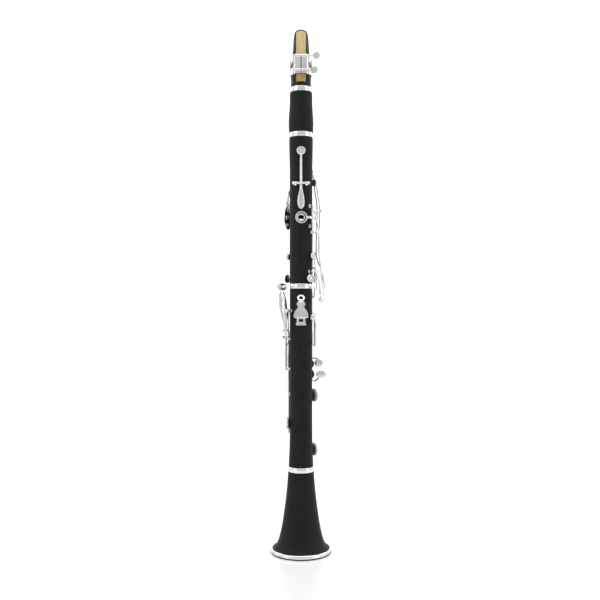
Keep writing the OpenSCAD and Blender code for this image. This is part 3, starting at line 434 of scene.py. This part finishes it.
mouthpiece = {  # stations are (radius, height above the barrel)
    "rise": zTip - zMouth,
    "stations": [(7.4, 12), (7.4, -15.45), (10.0, -15.45), (10.2, -15.2), (10.2, -12.4), (9.4, -12.3),
                 (9.4, -3.1),
                 (10.2, -3), (10.2, 0.05), (12.6, 0.05), (13.1, 0.3), (13.35, 1.2), (13.2, 3), (13.0, 6),
                 (12.95, 9),
                 (13.05, 11), (13.3, 13), (13.28, 14.2), (13.0, 15.5), (12.8, 18), (12.4, 22),
                 (12.1, 26), (11.8, 30),
                 (11.5, 34), (11.25, 38), (11.0, 42), (10.7, 46), (10.4, 50), (10.1, 54), (9.7, 58),
                 (9.2, 62),
                 (8.75, 66), (8.4, 68.5), (8.0, 70.2), (7.2, 71.3), (6.2, 71.8)],
    "table": (-11.2, -9.2),  # the reed table at the barrel end and at the tip
    "cutFrom": 15.5, "beakFrom": 33.0, "beakHigh": 12.0, "beakCurve": 1.12, "beakHollow": 0.9,
    "edgeDrop": 0.5, "tipThick": 1.3, "tipFrom": 62, "tipLong": 9.8, "tipCurve": 0.055,
}


def mouthpieceShell():
    s = mouthpiece
    bm = bmesh.new()
    ring = None
    for r, z in s["stations"]:
        if ring is None:
            ring = bmesh.ops.create_circle(bm, cap_ends=True, segments=96, radius=r * mm)["verts"]
            edges = list({e for v in ring for e in v.link_edges})
            for v in ring:
                v.co.z = (zMouth + z) * mm
            was = r
            continue
        made = bmesh.ops.extrude_edge_only(bm, edges=edges)["geom"]
        ring = [g for g in made if isinstance(g, bmesh.types.BMVert)]
        edges = [g for g in made if isinstance(g, bmesh.types.BMEdge)]
        bmesh.ops.scale(bm, vec=(r / was, r / was, 1), verts=ring)
        was = r
        t = max(0.0, z / s["rise"])
        flat = s["table"][0] + (s["table"][1] - s["table"][0]) * t
        if z > s["beakFrom"]:
            k = (z - s["beakFrom"]) / (s["rise"] - s["beakFrom"])
            fall = s["table"][1] + s["tipThick"] - s["beakHigh"]
            beak = s["beakHigh"] + fall * k ** s["beakCurve"] - s["beakHollow"] * math.sin(math.pi * k)
        for v in ring:
            v.co.z = (zMouth + z) * mm
            if z > s["cutFrom"]:
                v.co.y = max(v.co.y, flat * mm)
            if z > s["beakFrom"]:
                edge = min(1.0, abs(v.co.x) / (r * mm))
                v.co.y = min(v.co.y, (beak - s["edgeDrop"] * edge ** 4) * mm)
            if z > s["tipFrom"]:  # the tip is curved, much as the reed's is
                v.co.z -= (v.co.x / mm) ** 2 * s["tipCurve"] * (z - s["tipFrom"]) / s["tipLong"] * mm
    bmesh.ops.contextual_create(bm, geom=edges)
    return bm


addPiece("mouthpieceShell", mouthpieceShell(), "blackMouthpiece", "mouthpiece", ["mouthpiece_body"],
         flat=50)

reed = {"heel": 5, "long": zTip - zMouth, "wideHeel": 5.9, "wideTip": 6.5,  # the widths are halves
        "thick": 2.9, "barkRound": 0.30, "heelThin": 0.72, "heelLong": 6,
        "cut": 33, "cutLead": 1.5, "cutScoop": 3.5, "vampThick": 2.5, "vampCurve": 1.25, "edgeThin": 0.42,
        "tipThick": 0.16, "tipRound": 0.062, "roundFrom": 0.7, "roundLong": 0.3, "gap": 0.03}


def halfWide(y):  # y runs from 0 at the heel to 1 at the tip
    return reed["wideHeel"] + (reed["wideTip"] - reed["wideHeel"]) * y


def reedBlank():
    bm = bmesh.new()
    bmesh.ops.create_grid(bm, x_segments=16, y_segments=54, size=0.5)
    top, heel, tipThick = reed["long"], reed["heel"], reed["tipThick"]
    for v in list(bm.verts):
        x, y = v.co.x * 2, v.co.y + 0.5
        along = heel + (top - heel) * y
        half = halfWide(y)
        drop = reed["tipRound"] * (x * half) ** 2 * max(0.0, (y - reed["roundFrom"]) / reed["roundLong"])
        v.co = Vector((x * half * mm, 0, (along - drop) * mm))
    made = bmesh.ops.extrude_face_region(bm, geom=list(bm.faces))["geom"]
    for v in [g for g in made if isinstance(g, bmesh.types.BMVert)]:
        along = v.co.z / mm
        y = min(1.0, (along - heel) / (top - heel))
        x = v.co.x / mm / halfWide(y)
        uncut = reed["thick"] * (1 - reed["barkRound"] * x * x)
        slope = max(0.0, (top - along) / (top - reed["cut"])) ** reed["vampCurve"]
        vamp = tipThick + (reed["vampThick"] - tipThick) * slope * (1 - reed["edgeThin"] * x * x)
        shaved = along > reed["cut"] - reed["cutLead"] - reed["cutScoop"] * (1 - x * x)
        thick = min(uncut, vamp) if shaved else uncut
        thick *= min(1.0, reed["heelThin"] + (along - heel) / reed["heelLong"])
        v.co.y = -thick * mm
    heelSide, tipSide = mouthpiece["table"]
    tilt = Matrix.Rotation(-math.atan((tipSide - heelSide) / top), 4, "X")
    place = Matrix.Translation(Vector((0, heelSide - reed["gap"], zMouth)) * mm)
    bmesh.ops.transform(bm, verts=bm.verts, matrix=place @ tilt)
    return bm


addPiece("reedCane", reedBlank(), "cane", "mouthpiece", ["reed"], flat=40)
print("mouthpiece and reed made")

# cups are (angle, height, sideways, seat radius, seat height, extra)
# rings are (angle, height, outwards, inner radius, outer radius, thickness)
# arms are (points, half widths, half thickness, roll)
# touches are (angle, height, outwards, sideways, length, width, options)
# rods are spans in height, cross rods spans sideways; every length is in mm
hinge = {}
for j in frame["joints"]:
    if j["type"] == "hinge":
        hinge[j["child"]] = (Vector(j["pos_m"]), Vector(j["axis"]))


def rodSpan(key, z0, z1):
    p = hinge[key][0] / mm
    return Vector((p.x, p.y, z0)) * mm, Vector((p.x, p.y, z1)) * mm


def crossSpan(key, u0, u1):
    p, axis = hinge[key]
    return p - axis * u0 * mm, p - axis * u1 * mm


ringRod, innerRod, outerRod, footRod = 48, -40, -58, 22  # angles of the long rods
trillHigh, trillMid, trillLow, levers = 62, 104, 120, -102  # angles of the side keys and left levers
keyPlan = {
    "register_key": {"body": "register_key", "cross": [(-6.5, 6.5)],
                     "cups": [(180, 510, 0, 4.0, 16.0, 0.75)],
        "ends": 0.55,
        "arms": [([(180, 505.6, 0, 18.9), (180, 500, 0, 19.8), (180, 486, 0, 20.2), (180, 470, 0, 20.2),
                   (180, 456, 0, 20.4)],
                  (1.05, 1.5), 0.85)],
        "touches": [(180, 450.2, 19.5, 0, 28, 11.6, {"slim": 0.66, "crown": 0.5})]},
    "thumb_ring_key": {"open": 7, "rods": [(418.1, 438.5)], "rings": [(180, 426, 15.2, 6.2, 7.65, 1.6)],
        "arms": [([(133, 426, 19.6), (142, 426, 19.2), (150, 426, 18.2), (157, 426, 17.6)], (1.7, 1.3),
                  0.8),
                 ([(132, 431, 20.4), (126, 431, 20), (119, 431, 19)], (1.1, 0.9), 0.8)]},
    "a_key": {"cross": [(-3.7, 3.7)], "cups": [(-4, 464, 0, 3.9, 16.0, 0)],
        "arms": [([(-4, 464, 0, 19.4), (-4, 457, 0, 20.1), (-4, 451, 0, 20.1), (-4, 444, 0, 20.2)],
                  (1.2, 1.7), 0.8)],
        "touches": [(-4, 441, 19.5, 0, 12, 6.6, {"slim": 0.15})]},
    "ab_key": {"cross": [(-4.1, 4.1)], "cups": [(-56, 459, 0, 3.9, 16.0, 0)],
        "arms": [([(-56, 459, 0, 19.4), (-56, 452, 0, 20.2), (-56, 446, 0, 20.1), (-54, 436, 0.3, 19.9)],
                  (1.2, 2.2), 0.8)],
        "touches": [(-36, 429, 18.7, -6.4, 33, 13.4, {"slim": 0.08, "crown": 0.7}),
                    (144, 428.5, -18.9, 8.8, 5.2, 3.8, {"thick": 0.9}),
                    (144, 418.8, -18.9, 8.6, 3.4, 2.8, {"thick": 0.9})]},
    "trill_key_1": {"cross": [(-6.4, -0.3)], "cups": [(trillHigh, 487, -4.5, 4.0, 16.2, 0)],
        "arms": [([(trillHigh, 487, -4.5, 19.8), (trillHigh, 470, -4.4, 21.6),
                   (trillHigh, 450, -3.7, 24.6), (trillHigh, 436, -3.4, 25.4),
                   (trillHigh, 410, -4.2, 24.8), (trillHigh, 378, -4.2, 25), (64, 362, 28.6),
                   (66, 352, 31.3)], (1.2, 1.6), 0.85)],
        "touches": [(68, 349.5, 30.8, -1.2, 13, 6.2, {"slim": 0.4, "crown": 0.9})]},
    "trill_key_2": {"cross": [(0.3, 6.4)], "cups": [(trillHigh, 472, 4.5, 4.0, 16.2, 0)],
        "arms": [([(trillHigh, 472, 4.5, 19.8), (trillHigh, 460, 4.2, 22), (trillHigh, 446, 3.6, 24.8),
                   (trillHigh, 436, 3.4, 25.4),
                   (trillHigh, 410, 3.6, 24.8), (trillHigh, 378, 3.6, 25), (76, 356, 27.3),
                   (79, 344, 29.6)], (1.2, 1.6), 0.85)],
        "touches": [(79, 340.6, 29.6, 0, 13, 7.2, {"slim": 0.4, "crown": 0.9})]},
    "trill_key_3": {"cross": [(-3.4, 3.4)], "cups": [(trillMid, 428, 0, 3.9, 16.0, 0)],
        "arms": [([(trillMid, 428, 0, 19.4), (trillMid, 418, 0, 21.6), (trillMid, 408, 0, 23.8),
                   (trillMid, 386, -0.6, 23.0),
                   (trillMid, 366, -3, 25), (94, 348, 26.2), (93.5, 336, 28)], (1.2, 1.6), 0.85)],
        "touches": [(93.5, 331.8, 27.8, 0, 13, 7.2, {"slim": 0.4, "crown": 0.9})]},
    "trill_key_4": {"cross": [(-3.1, 3.1)], "cups": [(trillLow, 378, -0.5, 4.3, 16.0, 0.2)],
        "arms": [([(trillLow, 378, -0.5, 19.4), (trillLow, 368, -0.3, 20.6), (trillLow, 358, -0.2, 22.0),
                   (trillLow, 352, -2, 23.6),
                   (113.5, 344, 25.6), (111.5, 328, 26.3)], (1.3, 1.7), 0.9)],
        "touches": [(150, 323, 21.4, -16.8, 10.4, 9, {"slim": 0.15, "crown": 1.6})]},
    "index_ring_key": {"open": -8, "rods": [(412.9, 428.6)], "cups": [(20, 438, 0, 3.6, 16.2, 0)],
        "rings": [(0, 424, 15.6, 6.6, 8.2, 1.5)],
        "arms": [(arcPath(424, 18.1, 46, 24), (1.7, 1.2), 0.75),
                 ([(37, 424, 18.3), (30, 431, 19.2), (20, 438, 19.7)], (1.1, 1.1), 0.8)]},
    "middle_ring_key": {"open": -8, "rods": [(361.5, 408.1)], "cups": [(14, 381.5, 0, 3.8, 16.2, 0)],
        "rings": [(0, 397, 15.6, 6.6, 8.2, 1.5)],
        "arms": [(arcPath(397, 18.1, 46, 24), (1.7, 1.2), 0.75),
                 (arcPath(381.5, 19.7, 46, 16), (1.5, 1.2), 0.8),
                 ([(ringRod, 364, 19.4), (56, 362, 21.6), (59, 354, 23.4), (59, 335, 23.4)], (1.3, 1.1),
                  0.9)]},
    "cs_gs_key": {"rods": [(347.8, 355.2)], "cups": [(138, 349.5, 0, 4.3, 16.0, 0.2)],
        "arms": [(arcPath(351.5, 18.6, 86, -60), (1.5, 1.3), 0.75),
                 ([(87, 350.6, 18.6), (100, 350.3, 19.0), (112, 350, 19.3), (126, 349.7, 19.6),
                   (138, 349.5, 19.6)], (1.6, 1.3), 0.8)],
        "touches": [(-45, 349, 18.3, -5.9, 11.6, 11.2, {"crown": 0.5, "slim": 0.1})]},
    "eb_bb_sliver_key": {"rods": [(367.5, 387.5)], "cups": [(-77, 377, 0, 3.7, 16.0, 0)],
        "arms": [([(-49, 377, 18.6), (-60, 377, 19.6), (-77, 377, 19.5)], (1.7, 1.2), 0.8),
                 ([(-48, 382.5, 18.4), (-40, 382.5, 18.9), (-32, 382.5, 18.8)], (1.4, 1.2), 0.8)],
        "touches": [(-30, 382.4, 18, 0, 16, 4.2, {"crown": 0.4})]},
    "lower_ring_key": {"open": -8, "rods": [(295, 327.6), (253.9, 290.1)],
                       "cups": [(12, 322, 0, 4.4, 16.2, 0)],
        "rings": [(0, 304, 15.6, 6.6, 8.2, 1.5), (0, 281, 15.6, 6.6, 8.2, 1.5),
                  (0, 257, 15.6, 6.6, 8.2, 1.5)],
        "arms": [(arcPath(304, 18.1, 46, 24), (1.8, 1.2), 0.75),
                 (arcPath(281, 18.1, 46, 24), (1.8, 1.2), 0.75),
                 (arcPath(257, 18.1, 46, 24), (1.8, 1.2), 0.75),
                 (arcPath(322, 19.7, 46, 14), (1.6, 1.2), 0.8),
                 ([(ringRod, 325, 19.4), (57, 326.2, 20.4), (59, 331, 20.5), (59, 339.2, 20.5)],
                  (1.2, 1.0), 0.8),
                 ([(46, 297.2, 19.8), (42, 296.8, 21.3), (42, 292.5, 21.5), (42, 288.2, 21.3),
                   (46, 287.8, 19.8)], (1.0, 1.0), 0.7)]},
    "b_fs_sliver_key": {"rods": [(266.5, 293)], "cups": [(119, 300, 0, 4.4, 16.0, 0.2)],
        "arms": [([(94, 287.6, 18.7), (106, 291, 19.9), (119, 300, 19.6)], (1.7, 1.2), 0.8),
                 ([(93, 270, 18.6), (86, 270, 19.4), (78, 270, 19.8)], (1.4, 1.2), 0.8)],
        "touches": [(76, 270, 18.9, 0, 18, 4.6, {"crown": 0.4})]},
    "f_c_key": {"open": 8, "rods": [(189.5, 221.1)], "cups": [(60, 199, 0, 7.2, 16.6, 0.6)],
        "arms": [([(23, 199, 19.4), (34, 199, 20.5), (46, 199, 20.8), (60, 199, 20.2)], (2.4, 1.6), 0.9),
                 ([(footRod, 219, 19.2), (30, 219.8, 19.8), (40, 222, 19.9)], (1.4, 1.6), 0.8)],
        "touches": [(45, 225.8, 18.6, 0, 11, 9, {"crown": 0.4})]},
    "e_b_key": {"open": 5, "rods": [(210.5, 284.6), (123.5, 205.6)], "cups": [(60, 129, 0, 7.4, 17.0, 0.7)],
        "arms": [([(innerRod, 129, 18.9), (innerRod + 3, 129, 20.8)] + arcPath(129, 21.4, -32, 46)
                  + [(60, 129, 20.6)],
                  (2.2, 1.7), 0.9),
                 ([(innerRod, 217, 18.9), (innerRod + 3, 217, 22)] + arcPath(217, 23.5, -30, 52)
                  + [(60, 219, 24.2), (68, 223, 24.9)],
                  (1.6, 1.4), 0.85),
                 ([(innerRod, 282.4, 18.9), (innerRod - 4, 282.4, 23)] + arcPath(282.4, 26.1, -56, -98),
                  (1.4, 1.9), 0.9),
                 ([(innerRod + 1, 213, 19.9), (innerRod + 6, 212, 21.3), (innerRod + 6, 208, 21.5),
                   (innerRod + 6, 204, 21.3),
                   (innerRod + 1, 203, 19.9)], (1.0, 1.0), 0.7)],
        "touches": [(8, 225.6, 11.0, 24.1, 9.8, 13.6, {"crown": 0.5})]},
    "fs_cs_key": {"rods": [(202.5, 276.1), (154.5, 197.6)], "cups": [(-89, 164.3, 0, 6.0, 16.4, 0.5)],
        "arms": [([(outerRod, 164, 19.7), (-68, 164.1, 20.3), (-80, 164.2, 20.3), (-89, 164.3, 19.9)],
                  (2.0, 1.4), 0.9),
                 ([(outerRod, 246.2, 18.9), (outerRod + 3, 246.2, 21.6)] + arcPath(246.2, 23.3, -48, 52)
                  + [(60, 245.4, 23.9), (66, 242, 24.7)],
                  (1.6, 1.4), 0.85),
                 ([(outerRod, 274, 18.9), (outerRod - 4, 274, 22.6)] + arcPath(274, 25.3, -72, -110),
                  (1.4, 1.9), 0.9),
                 ([(outerRod + 1, 205, 19.9), (outerRod + 6, 204, 21.3), (outerRod + 6, 200, 21.5),
                   (outerRod + 6, 196, 21.3),
                   (outerRod + 1, 195, 19.9)], (1.0, 1.0), 0.7)],
        "touches": [(8, 240.4, 11.4, 21.4, 10.4, 11.0, {"crown": 0.5})]},
    "ab_eb_key": {"rods": [(226.1, 239.9)], "cups": [(-9, 233, 0, 4.7, 16.2, 0.2)],
        "arms": [([(21, 233, 19.6), (8, 233, 20.2), (-9, 233, 19.8)], (1.8, 1.3), 0.85),
                 ([(23, 236.6, 19.5), (30, 237.6, 20.5), (38, 238.6, 20.7)], (1.4, 1.4), 0.8)],
        "touches": [(44, 239.2, 19.6, 0, 10.4, 8.6, {"crown": 0.4})]},
    "left_e_b_lever": {"cross": [(0.3, 4.7)],
        "arms": [([(levers, 282, 2.6, 21.2), (levers, 296, 2.6, 21.6), (levers, 308, 2.5, 21.7),
                   (levers, 320, 3.2, 23.2),
                   (levers, 334, 5.0, 24.6)], (1.4, 2.6), 1.1)],
        "touches": [(-28, 338.6, 14.6, -19.6, 9.4, 14.6, {"crown": 0.8})]},
    "left_fs_cs_lever": {"cross": [(-4.7, -0.3)],
        "arms": [([(levers, 273.8, -3, 21.0), (levers, 286, -3.1, 20.6), (levers, 297, -2.9, 21.4),
                   (levers, 310, -2.6, 22.4)],
                  (1.2, 3.4), 1.1, 50)],
        "touches": [(-28, 311, 5.0, -22.2, 46, 8.2, {"crown": 0.8, "slim": -0.6, "turnBy": 0.12})]},
    "left_f_c_lever": {"rods": [(236.1, 269.5)],
        "arms": [([(-93, 263.6, 18.6), (-88, 266, 17.0), (-84, 270, 16.5), (-81, 288, 16.3),
                   (-72, 297, 17.4)], (0.9, 0.9), 0.8),
                 ([(-94, 239, 19.5), (-86, 239, 19.7), (-78, 239, 19.2)], (1.2, 1.1), 0.8)],
        "touches": [(-66, 303, 17.6, 0, 17, 6.4, {"crown": 0.4})]},
}
for key, plan in keyPlan.items():
    bm = bmesh.new()
    for span in plan.get("rods", []):
        hingeTube(bm, *rodSpan(key, *span))
    for span in plan.get("cross", []):
        hingeTube(bm, *crossSpan(key, *span), collar=plan.get("ends", 0.12))
    for c in plan.get("cups", []):
        cup(bm, *c)
    for r in plan.get("rings", []):
        fingerRing(bm, *r)
    for a in plan["arms"]:
        arm(bm, *a)
    for a, z, w, u, long, wide, more in plan.get("touches", []):
        touch(bm, outward(a, z, w, u), long, wide, **more)
    if "open" in plan:  # drawn closed, then turned open about its rod
        swing = Matrix.Rotation(math.radians(plan["open"]), 3, "Z")
        bmesh.ops.rotate(bm, verts=bm.verts, cent=hinge[key][0], matrix=swing)
    addPiece(key.replace("_", ""), bm, "plate", key, [key])
print("keys made:", len(keyPlan))


def plate(bm, outline, thick, matrix):  # outline of (x, y) down one side, mirrored and filled
    side = [Vector((x * mm, y * mm, 0)) for x, y in outline]
    verts = [bm.verts.new(p) for p in side + [Vector((-p.x, p.y, 0)) for p in reversed(side)]]
    edges = [bm.edges.new(pair) for pair in zip(verts, verts[1:] + verts[:1])]
    face = bmesh.ops.contextual_create(bm, geom=edges)["faces"]
    made = bmesh.ops.extrude_face_region(bm, geom=face)["geom"]
    top = [g for g in made if isinstance(g, bmesh.types.BMVert)]
    bmesh.ops.translate(bm, vec=(0, 0, thick * mm), verts=top)
    bmesh.ops.transform(bm, matrix=matrix, verts=verts + top)


rest = {  # each plate is (outline, thickness, height, outwards)
    "plates": [([(3.6, 14.6), (4.0, 12.5), (5.4, 10.6), (7.0, 8.6), (8.3, 6.0), (9.1, 3.0), (9.3, 0.6),
                 (8.9, 0),
                 (6.2, 0)], 1.9, 299.8, 15.9),
               ([(4.7, 2.2), (5.35, 1.4), (5.35, -0.8), (4.7, -1.5)], 2.3, 316.4, 15.9),
               ([(3.0, 4.6), (3.3, 0.5), (3.6, 0)], 1.7, 317.6, 16.1)],
    "ledge": {"z": 300.6, "out": 22.2, "long": 12.4, "wide": 16.5, "thick": 1.6},
    "eye": {"z": 324.4, "out": 21, "tilt": -38, "inner": 2.7, "outer": 4.7, "half": 0.9, "round": 0.6},
    "neck": [(180, 318, 0, 17), (180, 320.4, 0, 18.0), (180, 321.6, 0, 19.2)],
}
bm = bmesh.new()
for outline, thick, z, out in rest["plates"]:
    plate(bm, outline, thick, outward(180, z, out))
ledge = rest["ledge"]
touch(bm, outward(180, ledge["z"], ledge["out"]) @ Matrix.Rotation(math.radians(90), 4, "X"), ledge["long"],
      ledge["wide"], thick=ledge["thick"], crown=0.0)
eye = rest["eye"]
inner, outer, half = eye["inner"], eye["outer"], eye["half"]
turned(bm, rounded([(inner, -half), (inner, half), (outer, half), (outer, -half),
                    (inner, -half)], eye["round"], 3),
       outward(180, eye["z"], eye["out"]) @ Matrix.Rotation(math.radians(eye["tilt"]), 4, "X"), 40)
arm(bm, rest["neck"], (2.6, 2.2), 0.9)
addPiece("thumbRestSlider", bm, "plate", "thumb_rest", ["thumb_rest_slider"], bevelBy=0.35)
print("thumb rest made")

# floor and the sweep behind it, in metres
floorSet = {"near": -2.6, "bend": 1.3, "up": 2.6, "half": 3.0, "curve": 0.7, "steps": 12}
bm = bmesh.new()
line = [Vector((0, floorSet["near"], 0)), Vector((0, floorSet["bend"], 0))]
for k in range(1, floorSet["steps"] + 1):
    turn = math.pi / 2 * k / floorSet["steps"]
    depth = floorSet["bend"] + floorSet["curve"] * math.sin(turn)
    line.append(Vector((0, depth, floorSet["curve"] * (1 - math.cos(turn)))))
line.append(Vector((0, floorSet["bend"] + floorSet["curve"], floorSet["up"])))
verts = [bm.verts.new(p - Vector((floorSet["half"], 0, 0))) for p in line]
edges = [bm.edges.new(pair) for pair in zip(verts, verts[1:])]
made = bmesh.ops.extrude_edge_only(bm, edges=edges)["geom"]
farSide = [g for g in made if isinstance(g, bmesh.types.BMVert)]
bmesh.ops.translate(bm, vec=(2 * floorSet["half"], 0, 0), verts=farSide)
bmesh.ops.recalc_face_normals(bm, faces=bm.faces)
mesh = bpy.data.meshes.new("studioFloor")
bm.to_mesh(mesh)
bm.free()
mesh.shade_smooth()
floor = bpy.data.objects.new("studioFloor", mesh)
scene.collection.objects.link(floor)
finish["floor"] = rampMaterial("floor", (0.90, 0.90, 0.90), (0.92, 0.92, 0.92), 0.22, noiseScale=3, bump=0.0)
mesh.materials.append(finish["floor"])
